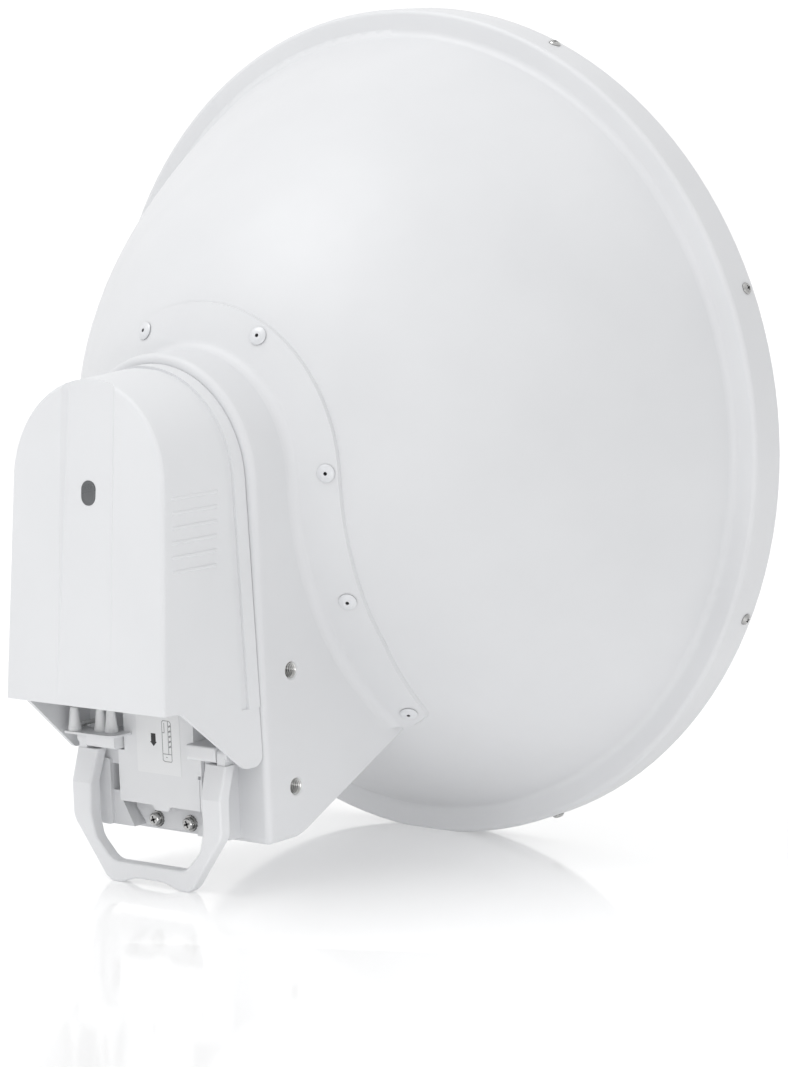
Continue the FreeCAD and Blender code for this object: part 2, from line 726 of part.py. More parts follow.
def flange_screw(x, z):
    """A screw from inside the dish through the sheet and the seal into the feed flange."""
    head_y = bowl_y(math.hypot(x, z)) - SHEET - 3.2
    shank = rod(V(x, head_y + 2, z), Y_AXIS, 2.0, FEED_FLANGE_Y + 4 - head_y - 2)
    head = rod(V(x, head_y, z), Y_AXIS, 3.6, 2.6)
    return fuse([head, shank]).cut(cross_recess(V(x, head_y, z), Y_AXIS * -1, 3.2, 1.2))


def transducer_screw(x, z):
    """A screw through the feed flange into the transducer block."""
    start = FEED_FLANGE_Y - 2.4
    shank = rod(V(x, start + 2, z), Y_AXIS, 1.6, 14)
    return fuse([rod(V(x, start, z), Y_AXIS, 2.6, 2.3), shank])


# ---------------------------------------------------------------- cover

def cover_wire(half, spread, y, arch_z, bottom):
    """The cover's outline at one depth: a round arch on two slightly spreading sides."""
    foot = half + spread * (arch_z - bottom)
    left = V(-half, y, arch_z)
    right = V(half, y, arch_z)
    arch = Part.Arc(left, V(0, y, arch_z + half), right).toShape()
    left_foot = V(-foot, y, bottom)
    right_foot = V(foot, y, bottom)
    sides = [Part.LineSegment(left_foot, left).toShape(), Part.LineSegment(right, right_foot).toShape()]
    return Part.Wire([sides[0], arch, sides[1], Part.LineSegment(right_foot, left_foot).toShape()])


def cover_form(inset, rear_inset):
    """The cover's solid form, moved in by inset at its sides and rear_inset at its rear face."""
    bottom = -240.0
    front = cover_wire(COVER_HALF - inset, COVER_FRONT_SPREAD, COVER_FRONT, ARCH_Z, bottom)
    rear_y = COVER_REAR - rear_inset
    rear_arch = ARCH_Z + COVER_REAR_RISE
    rear = cover_wire(COVER_REAR_HALF - inset, COVER_REAR_SPREAD, rear_y, rear_arch, bottom)
    rear.rotate(V(0, rear_y, ARCH_Z), X_AXIS, COVER_LEAN)
    return Part.makeLoft([front, rear], True, True)


def cover_side():
    """Side view of the cover down to its sloping lower edge and rounded tongue."""
    corners = [(COVER_FRONT - 5, 120, 0), (COVER_FRONT, COVER_TONGUE + 20, 0), (COVER_FRONT, COVER_TONGUE, 9),
               (340.5, COVER_TONGUE, 8), (398.8, COVER_BOTTOM, 14), (440, COVER_BOTTOM, 0), (440, 120, 0)]
    return plate_yz(corners, -120, 120)


def make_cover():
    """A thin arched shell with lip, grips, faceted rear face and hooks for the rails."""
    form = cover_form(0, 0)
    rear_edges = [edge for edge in form.Edges if edge.BoundBox.YMin > 385 and edge.BoundBox.ZMax > -200]
    form = form.makeFillet(COVER_EDGE_R, rear_edges)
    form = form.cut(strip_recess(0))
    channel_y = COVER_FRONT + LIP_WIDTH
    lip_zone = box(-100, 100, COVER_FRONT, channel_y, LIP_END, 100)
    channel_zone = box(-100, 100, channel_y, channel_y + CHANNEL_WIDTH, LIP_END, 100)
    proud = cover_form(-LIP_PROUD, 0).common(lip_zone)
    channel = channel_zone.cut(cover_form(CHANNEL_DEPTH, 0))
    shell = form.fuse([proud] + finger_grips()).cut(channel)
    shell = shell.cut(cover_form(COVER_WALL, COVER_WALL).cut(strip_recess(COVER_WALL)))
    hook = box(HOOK_IN, COVER_HALF - 1, HOOK_FRONT, HOOK_REAR, HOOK_BOTTOM, RAIL_TOP)
    shell = fuse([shell] + pair(hook))
    save("radio_cover", [shell.common(cover_side()).cut(badge_plate(0))])
    save("cover_badge", [badge_plate(0.1)])


def strip_depth(z):
    """How far the rear face's centre strip is set back at a height."""
    return FACET_DEPTH * (z - STRIP_FOOT) / (STRIP_TOP - STRIP_FOOT)


def strip_recess(wall):
    """The centre strip, set back behind two facets that fade out downwards; wall moves it inwards."""
    sections = []
    for z, depth in ((STRIP_TOP, FACET_DEPTH), (STRIP_FOOT, 0.02)):
        edge = STRIP_HALF + wall / 2
        floor = edge - FACET_WIDTH * depth / FACET_DEPTH
        ring = [V(-edge, 0, z), V(-floor, -depth, z), V(floor, -depth, z), V(edge, 0, z), V(edge, 8, z),
                V(-edge, 8, z)]
        sections.append(Part.makePolygon(ring + ring[:1]))
    recess = Part.makeLoft(sections, True, True)
    recess.translate(V(0, COVER_REAR - wall, ARCH_Z))
    recess.rotate(V(0, COVER_REAR, ARCH_Z), X_AXIS, COVER_LEAN)
    return recess


def finger_grips():
    """Six thin rounded horizontal ribs on each side of the cover."""
    grips = []
    for i in range(GRIP_COUNT):
        z = GRIP_TOP - GRIP_PITCH * i
        front = V(cover_half(GRIP_FRONT, z) - GRIP_SINK, GRIP_FRONT + GRIP_FRONT_STEP * i, z)
        rear = V(cover_half(GRIP_REAR, z) - GRIP_SINK, GRIP_REAR + GRIP_REAR_STEP * i, z)
        rib = rod(front, rear - front, GRIP_R, (rear - front).Length)
        ends = [Part.makeSphere(GRIP_R, point) for point in (front, rear)]
        grips += pair(fuse([rib] + ends))
    return grips


def cover_half(y, z):
    """Half width of the cover's outside at a depth and height on its straight sides."""
    share = (y - COVER_FRONT) / (COVER_REAR - COVER_FRONT)
    front = COVER_HALF + COVER_FRONT_SPREAD * (ARCH_Z - z)
    rear = COVER_REAR_HALF + COVER_REAR_SPREAD * (ARCH_Z - z)
    return front + (rear - front) * share


def badge_plate(gap):
    """A small plain oval badge let into the middle of the centre strip."""
    y = COVER_REAR - math.tan(math.radians(COVER_LEAN)) * (BADGE_Z - ARCH_Z) - strip_depth(BADGE_Z - ARCH_Z)
    outline = rectangle(gap - 7, 7 - gap, BADGE_Z - 9 + gap, BADGE_Z + 9 - gap, 6.5)
    badge = plate_xz(outline, y - 1.0, y + 0.4)
    badge.rotate(V(0, y, BADGE_Z), X_AXIS, COVER_LEAN)
    return badge


# ---------------------------------------------------------------- carrier and handle

def make_carrier():
    """The panel that carries the radio: a shallow tray with radio rails and a rounded tab."""
    front = HOUSING_REAR
    skin = PANEL_REAR - PANEL_THICK
    neck = PANEL_NECK_HALF
    wide = PANEL_HALF
    right = [(TAB_HALF, PANEL_BOTTOM - TAB_DROP, 3), (TAB_HALF + 2, PANEL_BOTTOM, 2), (wide, PANEL_BOTTOM, 1),
             (wide, PANEL_NECK_Z, 1), (neck, PANEL_NECK_Z, 0), (neck, PANEL_TOP, 6)]
    outline = right + [(-x, z, radius) for x, z, radius in reversed(right)]
    panel = plate_xz(outline, skin, PANEL_REAR)
    wall = box(neck - 2.5, neck, front, skin, PANEL_NECK_Z, PANEL_TOP - 8)
    foot = box(wide - 2.5, wide, front, skin, PANEL_BOTTOM + 8, PANEL_NECK_Z)
    rail_ends = (RADIO_BOTTOM, CARRIER_RAIL_TOP)
    shelf = box(neck - 2.5, RADIO_HALF + 3.2, skin, PANEL_REAR, *rail_ends)
    rail = box(RADIO_HALF + 0.5, RADIO_HALF + 3.2, skin, CARRIER_RAIL_REAR, *rail_ends)
    lip = box(RADIO_HALF - 1.0, RADIO_HALF + 1, 347.3, 349.7, *rail_ends)
    side = fuse([wall, foot, shelf, rail, lip])
    bosses = [rod(V(x, front, z), Y_AXIS, 5.0, skin - front) for x, z in carrier_screw_spots()]
    stop = box(-12, 12, skin, 346, RADIO_BOTTOM - 3.4, RADIO_BOTTOM - 0.4)
    carrier = fuse([panel] + pair(side) + bosses + [stop])
    holes = [rod(V(x, front - 1, z), Y_AXIS, 2.0, 30) for x, z in carrier_screw_spots()]
    notch = box(-wide + 1.0, -wide + 3.6, skin - 1, PANEL_REAR + 1, NOTCH_BOTTOM, NOTCH_TOP)
    groove = box(-wide + 1.9, -wide + 2.7, PANEL_REAR - 0.8, PANEL_REAR + 1, PANEL_BOTTOM, NOTCH_BOTTOM)
    save("radio_carrier", [cut(carrier, holes + [notch, groove])])
    save("carrier_screws", [carrier_screw(x, z) for x, z in carrier_screw_spots()])
    label = plate_xz(rectangle(-LABEL_HALF, LABEL_HALF, LABEL_BOTTOM, LABEL_TOP, 1.0), PANEL_REAR,
                     PANEL_REAR + 0.3)
    save("label_plate", [label])


def carrier_screw_spots():
    """Side and height of the screws that hold the carrier to the housing."""
    return [(side * CARRIER_SCREW_X, z) for side in SIDES for z in CARRIER_SCREW_ZS]


def carrier_screw(x, z):
    """A pan-head screw through a carrier boss into the housing's rear wall."""
    profile = [(0, 2.6), (2.4, 2.4), (3.8, 1.4), (3.8, 0), (2.0, 0), (2.0, -22), (0, -23)]
    screw = turned(profile, V(x, PANEL_REAR, z), Y_AXIS)
    return screw.cut(cross_recess(V(x, PANEL_REAR + 2.6, z), Y_AXIS, 3.6, 1.4))


def make_blocks():
    """Hinge blocks for the handle: the left one also carries the shelf for the coaxial boots."""
    inside = HOUSING_REAR
    rear = PIVOT_Y + HANDLE_DEPTH / 2
    top = SHELF_BOTTOM + 0.5
    profile = [(inside, BLOCK_BOTTOM, 0), (rear, BLOCK_BOTTOM, BLOCK_EDGE_R), (rear, top, BLOCK_EDGE_R / 2),
               (inside, top, 0)]
    block = plate_yz(profile, BLOCK_IN, BLOCK_OUT)
    pin_hole = rod(V(PIN_START, PIVOT_Y, PIVOT_Z), X_AXIS, PIN_R, 40)
    inner, outer = SHELF_ENDS
    shelf = block_along_z([(inner, PANEL_REAR + 1, 0), (outer, PANEL_REAR + 1, 2), (outer, SHELF_REAR, 5),
                           (inner, SHELF_REAR, 9)], SHELF_BOTTOM, SHELF_TOP)
    left = cut(fuse([block, shelf]), [pin_hole] + [coupler_solid(*spot) for spot in BOOT_SPOTS])
    save("hinge_block_left", [left])
    save("hinge_block_right", [mirrored(block.cut(pin_hole))])
    pin = rod(V(PIN_START, PIVOT_Y, PIVOT_Z), X_AXIS, PIN_R, EYE_OUT - PIN_START - 1)
    save("handle_pins", pair(pin))


def handle_outline():
    """Outline of the bail across the dish axis: straight arm tops, kinked arms, a bar with two feet."""
    half = HANDLE_HALF
    inner = half - HANDLE_WIDTH
    outer_side = [(half, HANDLE_TOP, 0), (half, -257, 16), (43.5, -297.5, 6), (38, HANDLE_BOTTOM, 4)]
    foot = [(28, HANDLE_BOTTOM, 10), (14, HANDLE_BOTTOM + 4.5, 20)]
    inner_side = [(36, HANDLE_BOTTOM + 15.5, 14), (inner - 4, -270, 16), (inner, -252, 16),
                  (half - HANDLE_TOP_WIDTH, HANDLE_TOP, 0)]
    right = outer_side + foot
    left = [(-x, z, radius) for x, z, radius in reversed(right)]
    left_inner = [(-x, z, radius) for x, z, radius in reversed(inner_side)]
    return right + left + left_inner + inner_side


def make_handle():
    """A moulded bail whose arm tops bend forward to round eyes on the hinge pins."""
    front = HANDLE_REAR - HANDLE_DEPTH
    eye_front = PIVOT_Y - HANDLE_DEPTH / 2
    below = HANDLE_BOTTOM - 5
    side_view = [(front, below, 0), (HANDLE_REAR, below, 0), (HANDLE_REAR, HANDLE_BEND_Z, 0),
                 (eye_front + HANDLE_DEPTH, HANDLE_TOP, 0), (eye_front, HANDLE_TOP, 0),
                 (front, HANDLE_BEND_Z, 0)]
    bail = plate_xz(handle_outline(), eye_front - 5, HANDLE_REAR + 5).common(plate_yz(side_view, -100, 100))
    edges = []
    for edge in bail.Edges:
        along = edge.tangentAt((edge.FirstParameter + edge.LastParameter) / 2)
        level = edge.BoundBox.ZLength < 0.01
        if abs(along.y) < 0.5 and not (level and edge.BoundBox.ZMin > HANDLE_BEND_Z - 0.1):
            edges.append(edge)
    bail = bail.makeFillet(HANDLE_EDGE_R, edges)
    eye = rod(V(EYE_IN, PIVOT_Y, PIVOT_Z), X_AXIS, EYE_R, EYE_OUT - EYE_IN)
    web = box(EYE_IN, EYE_OUT - HANDLE_EDGE_R, PIVOT_Y - EYE_R, PIVOT_Y + EYE_R, HANDLE_TOP - 4, PIVOT_Z)
    bore = rod(V(EYE_IN - 1, PIVOT_Y, PIVOT_Z), X_AXIS, PIN_R + PIN_GAP, EYE_OUT - EYE_IN)
    handle = fuse([bail] + pair(fuse([eye, web])))
    save("handle", [cut(handle, pair(bore))])


# ---------------------------------------------------------------- radio

def radio_block(inset, y0, y1):
    """The radio's rounded outline between two depths."""
    half = RADIO_HALF - inset
    corners = rectangle(-half, half, RADIO_BOTTOM + inset, RADIO_TOP - inset, RADIO_CORNER - inset)
    return plate_xz(corners, y0, y1)


def radio_openings():
    """Openings in the radio's lower end for its sockets, connectors, button and light pipe."""
    z0 = RADIO_BOTTOM - 5
    jacks = [box(x - JACK_HALF, x + JACK_HALF, JACK_Y, JACK_Y + JACK_DEPTH, z0, z0 + 12) for x in JACK_XS]
    threads = [rod(V(x, PORT_Y, z0), Z_AXIS, 3.2, 12) for x in PORT_XS]
    side_thread = rod(V(RADIO_HALF - 6, GPS_PORT_Y, GPS_PORT_Z), X_AXIS, 3.2, 12)
    button = rod(V(BUTTON_X, BUTTON_Y, z0), Z_AXIS, BUTTON_R + BUTTON_GAP, 12)
    return jacks + threads + [side_thread, button]


def make_radio():
    """Finned base shell, lid, seal, screws, board, shield, pad, sockets, connectors and button."""
    grooves = [box(RADIO_HALF - 1.6, RADIO_HALF + 1, 346.7, 350.3, RADIO_BOTTOM - 1, 4)]
    grooves.append(mirrored(grooves[0]))
    base = radio_block(0, RADIO_FRONT, RADIO_SPLIT)
    base = base.cut(radio_block(RADIO_WALL + 1.5, RADIO_FRONT + 6, RADIO_SPLIT))
    fins = [box(x, x + FIN_PITCH / 2, RADIO_FRONT - 1, RADIO_FRONT + 3.5, -120, 40) for x in fin_gap_starts()]
    lid = radio_block(0, RADIO_SPLIT + RADIO_SEAL, RADIO_REAR)
    rim = [edge for edge in lid.Edges if abs(edge.BoundBox.YMin - RADIO_REAR) < 0.01]
    lid = lid.makeFillet(3.0, rim)
    lid = lid.cut(radio_block(RADIO_WALL + 1.5, RADIO_SPLIT, RADIO_REAR - RADIO_WALL))
    light_slot = box(-5, 5, RADIO_REAR - 4, RADIO_REAR + 1, RADIO_BOTTOM + 7.5, RADIO_BOTTOM + 9.5)
    posts = [rod(V(x, RADIO_FRONT + 5, z), Y_AXIS, 3.4, RADIO_SPLIT - RADIO_FRONT - 5)
             for x, z in radio_screw_spots()]
    lid_posts = [rod(V(x, RADIO_SPLIT + RADIO_SEAL, z), Y_AXIS, 3.4, RADIO_REAR - RADIO_SPLIT - 2)
                 for x, z in radio_screw_spots()]
    bores = [rod(V(x, RADIO_FRONT + 8, z), Y_AXIS, 1.5, 40) for x, z in radio_screw_spots()]
    sinks = [rod(V(x, RADIO_REAR - 3, z), Y_AXIS, 3.0, 5) for x, z in radio_screw_spots()]
    base = cut(fuse([base] + posts), grooves + fins + radio_openings() + bores)
    lid = cut(fuse([lid] + lid_posts), radio_openings() + bores + sinks + [light_slot])
    save("radio_base", [base])
    save("radio_lid", [lid])
    seal = radio_block(0.6, RADIO_SPLIT, RADIO_SPLIT + RADIO_SEAL)
    seal = seal.cut(radio_block(RADIO_WALL, RADIO_SPLIT - 1, RADIO_SPLIT + 2))
    save("radio_seal", [cut(seal, radio_openings())])
    save("radio_screws", [radio_screw(x, z) for x, z in radio_screw_spots()])
    light_y = RADIO_REAR - 3.9
    save("light_pipe", [box(-4.9, 4.9, light_y, light_y + 4.1, RADIO_BOTTOM + 7.6, RADIO_BOTTOM + 9.4)])
    make_radio_inside()
    make_sockets()


def fin_gap_starts():
    """Sides of the gaps cut between the base's cooling fins."""
    return [FIN_PITCH * (i - (FIN_COUNT - 1) / 2) for i in range(FIN_COUNT)]


def radio_screw_spots():
    """Screws near the four corners of the lid."""
    inset = 8.0
    return [(x * (RADIO_HALF - inset), z) for x in SIDES for z in (RADIO_BOTTOM + inset, RADIO_TOP - inset)]


def radio_screw(x, z):
    """A countersunk lid screw."""
    top = RADIO_REAR - 0.6
    profile = [(0, 0), (2.9, 0), (2.9, -2.3), (1.5, -2.3), (1.5, -30), (0, -31)]
    screw = turned(profile, V(x, top, z), Y_AXIS)
    return screw.cut(cross_recess(V(x, top, z), Y_AXIS, 3.0, 1.2))


def make_radio_inside():
    """Circuit board, its shield can and the thermal pad to the finned base."""
    board = radio_block(4.5, BOARD_Y, BOARD_Y + BOARD_THICK)
    corners = [rod(V(x, BOARD_Y - 1, z), Y_AXIS, 4.2, 4) for x, z in radio_screw_spots()]
    passages = [rod(V(x, PORT_Y, RADIO_BOTTOM), Z_AXIS, 4.6, 16) for x in PORT_XS]
    save("circuit_board", [cut(board, corners + passages)])
    can = box(-26, 26, BOARD_Y + BOARD_THICK, BOARD_Y + 7.6, -70, 20)
    save("shield_can", [can.cut(box(-25.4, 25.4, BOARD_Y, BOARD_Y + 7.0, -69.4, 19.4))])
    save("thermal_pad", [box(-22, 22, RADIO_FRONT + 6, BOARD_Y, -60, 10)])


def make_sockets():
    """Ethernet sockets, threaded coaxial connectors and the reset button in the lower end."""
    jacks = []
    for x in JACK_XS:
        jack = box(x - JACK_HALF, x + JACK_HALF, JACK_Y, JACK_Y + JACK_DEPTH, RADIO_BOTTOM, RADIO_BOTTOM + 17)
        socket = box(x - 5.9, x + 5.9, JACK_Y + 2, JACK_Y + 9.0, RADIO_BOTTOM - 1, RADIO_BOTTOM + 13)
        key = box(x - 3.2, x + 3.2, JACK_Y + 8, JACK_Y + 11.6, RADIO_BOTTOM - 1, RADIO_BOTTOM + 8)
        jacks.append(cut(jack, [socket, key]))
    save("ethernet_sockets", jacks)
    body = [(0, 3.5), (3.2, 3.5), (3.2, 0), (4.4, 0), (4.4, -2), (3.2, -2), (3.2, -11),
            (COAX_R, -11), (COAX_R, -4), (0, -4)]
    connectors = [turned(body, V(x, PORT_Y, RADIO_BOTTOM), Z_AXIS) for x in PORT_XS]
    arm = turned([(0, 5), (3.2, 5), (3.2, 0), (4.4, 0), (4.4, -2), (3.2, -2), (3.2, -10), (0, -10)],
                 V(RADIO_HALF, GPS_PORT_Y, GPS_PORT_Z), X_AXIS * -1)
    elbow = rod(V(GPS_LEAD_X, GPS_PORT_Y, GPS_PORT_Z - 9), Z_AXIS, 2.9, 9)
    well = rod(V(GPS_LEAD_X, GPS_PORT_Y, GPS_PORT_Z - 10), Z_AXIS, COAX_R, 6)
    connectors.append(fuse([arm, elbow]).cut(well))
    save("coax_connectors", connectors)
    stem = rod(V(BUTTON_X, BUTTON_Y, RADIO_BOTTOM - 0.7), Z_AXIS, BUTTON_R, 6.0)
    collar = rod(V(BUTTON_X, BUTTON_Y, RADIO_BOTTOM + 3.8), Z_AXIS, BUTTON_R + 1, 1.2)
    save("reset_button", [fuse([stem, collar])])


# ---------------------------------------------------------------- couplers, boots and leads

def coupler_height(x):
    """Height of a coupler's arm: the outermost one clears the handle's eye and runs above the shelf."""
    return SHELF_TOP + 3.0 if x == BOOT_SPOTS[0][0] else COUPLER_Z


def coupler_solid(x, y):
    """An angled coupler: an arm from the housing and a stem up into its boot."""
    z = coupler_height(x)
    arm = rod(V(x, HOUSING_REAR - 5, z), Y_AXIS, COUPLER_ARM_R, y - HOUSING_REAR + 5)
    stem = rod(V(x, y, z - COUPLER_R), Z_AXIS, COUPLER_R, SHELF_TOP + 6 - z + COUPLER_R)
    return fuse([arm, stem])


def make_couplers():
    """Right-angle couplers from the housing to the shelf, with translucent boots on top."""
    couplers = [coupler_solid(*spot) for spot in BOOT_SPOTS]
    boots = []
    base = 5.1
    profile = [(base, 0), (base, 2.2), (4.6, 4), (3.0, BOOT_HEIGHT), (COAX_R, BOOT_HEIGHT), (COAX_R, 6.0),
               (COUPLER_R, 6.0), (COUPLER_R, 0)]
    for (x, y), coupler in zip(BOOT_SPOTS, couplers):
        boots.append(turned(profile, V(x, y, SHELF_TOP), Z_AXIS).cut(coupler))
    save("angled_couplers", couplers)
    save("connector_boots", boots)


def make_leads():
    """Short coaxial leads from the boots to the radio, and three inside the housing."""
    top = SHELF_TOP + 6.0
    boot_top = SHELF_TOP + BOOT_HEIGHT
    start_y = HOUSING_REAR - 5
    feed_y = FEED_FLANGE_Y + 14
    for name, spot, port_x, feed_x in zip("ab", BOOT_SPOTS[1:], PORT_XS, (13, -13)):
        x, y = spot
        route = [V(x, y, top), V(x, y, boot_top + 9), V(port_x, PORT_Y, RADIO_BOTTOM - 18)]
        save("radio_lead_" + name, [lead(route + [V(port_x, PORT_Y, RADIO_BOTTOM - 4)], COAX_R)])
        route = [V(x, start_y, COUPLER_Z), V(x, 284, COUPLER_Z), V(x, 284, -160)]
        save("feed_lead_" + name, [lead(route + [V(feed_x, feed_y, -100), V(feed_x, feed_y, -36)], COAX_R)])
    x, y = BOOT_SPOTS[0]
    route = [V(x, y, top), V(x, y, -160), V(GPS_LEAD_X, GPS_PORT_Y, -125),
             V(GPS_LEAD_X, GPS_PORT_Y, GPS_PORT_Z - 4)]
    save("radio_lead_gps", [lead(route, COAX_R)])
    z = coupler_height(x)
    route = [V(x, start_y, z), V(x, 262, z), V(x, 262, -140), V(66, 290, -60), V(52, 303, 20), V(40, 306, 62)]
    save("antenna_lead_gps", [lead(route + [V(12.5, 306, 62)], COAX_R)])
    puck = block_along_z(rectangle(-12.5, 12.5, 301, 311, 1.5), 49, 74)
    foot = box(-8, 8, 311, HOUSING_REAR - HOUSING_WALL, 55, 68)
    save("gps_antenna", [fuse([puck, foot])])


def main():
    os.makedirs("parts", exist_ok=True)
    make_dish()
    make_radome()
    make_rivets()
    make_housing()
    make_inserts()
    make_ground_screws()
    make_feed()
    make_cover()
    make_carrier()
    make_blocks()
    make_handle()
    make_radio()
    make_couplers()
    make_leads()


main()
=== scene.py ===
"""Looks of the outdoor wireless bridge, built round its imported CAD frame.

Everything is in metres and in the frame's own coordinates: +Z up, the dish faces -Y, and the origin
is the centre of the mast bracket's bolt holes.
"""

import json
import math

import bpy
from mathutils import Matrix, Vector


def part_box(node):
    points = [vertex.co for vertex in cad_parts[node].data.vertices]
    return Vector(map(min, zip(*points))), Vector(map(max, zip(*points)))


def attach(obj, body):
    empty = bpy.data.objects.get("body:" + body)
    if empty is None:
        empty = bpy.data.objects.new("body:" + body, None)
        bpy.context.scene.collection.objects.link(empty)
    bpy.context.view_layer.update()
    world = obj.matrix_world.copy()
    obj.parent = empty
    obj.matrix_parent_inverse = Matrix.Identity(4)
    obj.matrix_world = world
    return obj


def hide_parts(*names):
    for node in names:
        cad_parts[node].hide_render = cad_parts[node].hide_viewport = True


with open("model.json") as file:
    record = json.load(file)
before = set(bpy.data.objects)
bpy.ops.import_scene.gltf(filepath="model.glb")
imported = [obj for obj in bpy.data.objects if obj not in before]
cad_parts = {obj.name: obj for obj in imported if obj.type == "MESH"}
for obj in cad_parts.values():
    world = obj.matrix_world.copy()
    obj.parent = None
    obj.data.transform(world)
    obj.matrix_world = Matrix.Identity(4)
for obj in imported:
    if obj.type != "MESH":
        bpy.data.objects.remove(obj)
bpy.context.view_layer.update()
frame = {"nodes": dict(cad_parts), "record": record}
nodes = frame["nodes"]
MM = 0.001

# ---------------------------------------------------------------- material building blocks

PATCH_DETAIL = 4.0
GRAIN_DETAIL = 2.0
GLOSS_DETAIL = 5.0
GLOSS_FINER = 6
OCCLUSION_SAMPLES = 8


def new_material(name):
    """A node material, its tree and its shader."""
    material = bpy.data.materials.new(name)
    material.use_nodes = True
    return material, material.node_tree, material.node_tree.nodes["Principled BSDF"]


def noise(tree, scale, detail=3.0):
    """Noise in object space with its features about 1 / scale metres wide."""
    coords = tree.nodes.new("ShaderNodeTexCoord")
    texture = tree.nodes.new("ShaderNodeTexNoise")
    texture.inputs["Scale"].default_value = scale
    texture.inputs["Detail"].default_value = detail
    tree.links.new(coords.outputs["Object"], texture.inputs["Vector"])
    return texture.outputs["Fac"]


def ramp(tree, factor, low, high, start=0.3, end=0.7):
    """Two colours blended over the middle of the factor's range."""
    node = tree.nodes.new("ShaderNodeValToRGB")
    node.color_ramp.elements[0].position = start
    node.color_ramp.elements[0].color = (*low, 1)
    node.color_ramp.elements[1].position = end
    node.color_ramp.elements[1].color = (*high, 1)
    tree.links.new(factor, node.inputs["Fac"])
    return node.outputs["Color"]


def spread(tree, factor, low, high, start=0.0, end=1.0):
    """The factor's range from start to end, mapped on to low to high."""
    node = tree.nodes.new("ShaderNodeMapRange")
    node.inputs["From Min"].default_value = start
    node.inputs["From Max"].default_value = end
    node.inputs["To Min"].default_value = low
    node.inputs["To Max"].default_value = high
    tree.links.new(factor, node.inputs["Value"])
    return node.outputs["Result"]


def bump(tree, shader, height, depth):
    """A bump of the given depth in metres."""
    node = tree.nodes.new("ShaderNodeBump")
    node.inputs["Distance"].default_value = depth
    node.inputs["Strength"].default_value = 1.0
    tree.links.new(height, node.inputs["Height"])
    tree.links.new(node.outputs["Normal"], shader.inputs["Normal"])


def painted_recess_shade(tree, colour, reach, depth, start=0.0, end=1.0):
    """Painted shade: the colour darkened by depth, from ambient occlusion, where the surface is closed in
    within reach metres.
    """
    shade = tree.nodes.new("ShaderNodeAmbientOcclusion")
    shade.inputs["Distance"].default_value = reach
    shade.samples = OCCLUSION_SAMPLES
    amount = spread(tree, shade.outputs["AO"], 1.0 - depth, 1.0, start, end)
    darker = tree.nodes.new("ShaderNodeVectorMath")
    darker.operation = "SCALE"
    tree.links.new(colour, darker.inputs[0])
    tree.links.new(amount, darker.inputs["Scale"])
    return darker.outputs["Vector"]


def surface(name, colours, roughness, grain, depth, metallic=0.0, patch=9.0, recess_shade=None):
    """A finished surface: broad colour drift, uneven gloss and a fine grain.

    colours are the two that the drift runs between, and roughness is its lowest and highest value.
    patch and grain are the noise scales of the drift and of the bump, and depth is the bump's, in metres.
    The last argument holds the reach and the depth of the painted shade in recesses, and optionally its
    start and end.
    """
    material, tree, shader = new_material(name)
    shader.inputs["Metallic"].default_value = metallic
    colour = ramp(tree, noise(tree, patch, PATCH_DETAIL), *colours)
    # Painted shade: the colour is darkened in recesses by ambient occlusion
    if recess_shade:
        colour = painted_recess_shade(tree, colour, *recess_shade)
    tree.links.new(colour, shader.inputs["Base Color"])
    fine = noise(tree, grain, GRAIN_DETAIL)
    gloss = noise(tree, patch * GLOSS_FINER, GLOSS_DETAIL)
    tree.links.new(spread(tree, gloss, *roughness), shader.inputs["Roughness"])
    bump(tree, shader, fine, depth)
    return material


# ---------------------------------------------------------------- materials

COAT_WHITE = ((0.668, 0.675, 0.690), (0.698, 0.705, 0.720))
MOULDED_WHITE = ((0.695, 0.703, 0.718), (0.722, 0.730, 0.745))
HANDLE_WHITE = ((0.735, 0.742, 0.757), (0.760, 0.767, 0.782))
CARRIER_WHITE = ((0.755, 0.762, 0.775), (0.780, 0.787, 0.800))
RADOME_WHITE = ((0.675, 0.685, 0.705), (0.705, 0.715, 0.735))
RIVET_WHITE = ((0.66, 0.67, 0.69), (0.72, 0.73, 0.75))
JACKET_WHITE = ((0.70, 0.71, 0.72), (0.78, 0.79, 0.80))
FILM_WHITE = ((0.800, 0.806, 0.815), (0.825, 0.831, 0.840))
SILICONE_WHITE = ((0.80, 0.81, 0.82), (0.88, 0.885, 0.89))
WAXY_WHITE = ((0.80, 0.79, 0.74), (0.86, 0.86, 0.82))
CERAMIC_WHITE = ((0.62, 0.60, 0.55), (0.70, 0.68, 0.62))
STEEL_GREY = ((0.45, 0.45, 0.44), (0.66, 0.66, 0.65))
DARK_STEEL_GREY = ((0.34, 0.34, 0.34), (0.62, 0.62, 0.61))
BRIGHT_STEEL_GREY = ((0.50, 0.50, 0.49), (0.74, 0.74, 0.73))
ALUMINIUM_GREY = ((0.62, 0.63, 0.64), (0.76, 0.77, 0.78))
NICKEL_GREY = ((0.70, 0.70, 0.69), (0.82, 0.82, 0.81))
BADGE_GREY = ((0.10, 0.105, 0.11), (0.17, 0.175, 0.18))
INK_GREY = ((0.26, 0.26, 0.27), (0.34, 0.34, 0.35))
INK_BLACK = ((0.006, 0.006, 0.007), (0.016, 0.016, 0.017))
RUBBER_BLACK = ((0.012, 0.012, 0.013), (0.03, 0.03, 0.032))
KEY_BLACK = ((0.015, 0.015, 0.016), (0.03, 0.03, 0.032))
BOARD_GREEN = ((0.008, 0.05, 0.022), (0.015, 0.08, 0.035))
PAD_BLUE = ((0.22, 0.27, 0.36), (0.28, 0.33, 0.42))

